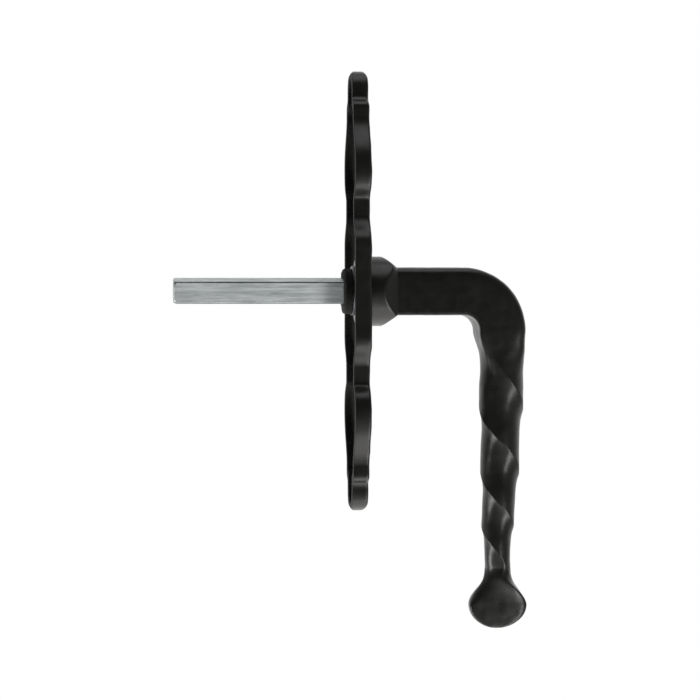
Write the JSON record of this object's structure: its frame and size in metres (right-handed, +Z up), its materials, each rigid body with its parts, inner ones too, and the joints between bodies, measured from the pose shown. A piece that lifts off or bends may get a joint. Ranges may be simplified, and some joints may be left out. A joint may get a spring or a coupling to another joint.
{
  "type": "window lever handle",
  "caption": "Rustic lever handle with a twisted grip and paddle end on a hollow scalloped plate, turning a long square spindle.",
  "frame": {"origin": "where the spindle axis meets the plane of the plate's back rim", "axes": "+Y along the spindle into the window, -Y out to the room, +Z up the plate, and the lever hangs to -Z at rest"},
  "size_m": [0.036, 0.1253, 0.1973],
  "materials": {
    "black_casting": "satin black coat over a slightly uneven casting",
    "black_nylon": "moulded nylon",
    "zinc_steel": "drawn bar, bright zinc plate",
    "plain_steel": "plain spring steel"
  },
  "bodies": {
    "plate": {"backplate": "black_casting", "bearing_bush": "black_nylon"},
    "lever": {"lever_handle": "black_casting", "spindle": "zinc_steel", "spindle_grub_screw": "plain_steel", "wave_spring": "plain_steel", "thrust_washer": "plain_steel", "retaining_ring": "plain_steel"}
  },
  "joints": [
    {"name": "lever_turn", "type": "hinge", "parent": "plate", "child": "lever", "pos_m": [0, 0, 0], "axis": [0, 1, 0], "range_deg": [-90, 90]}
  ]
}
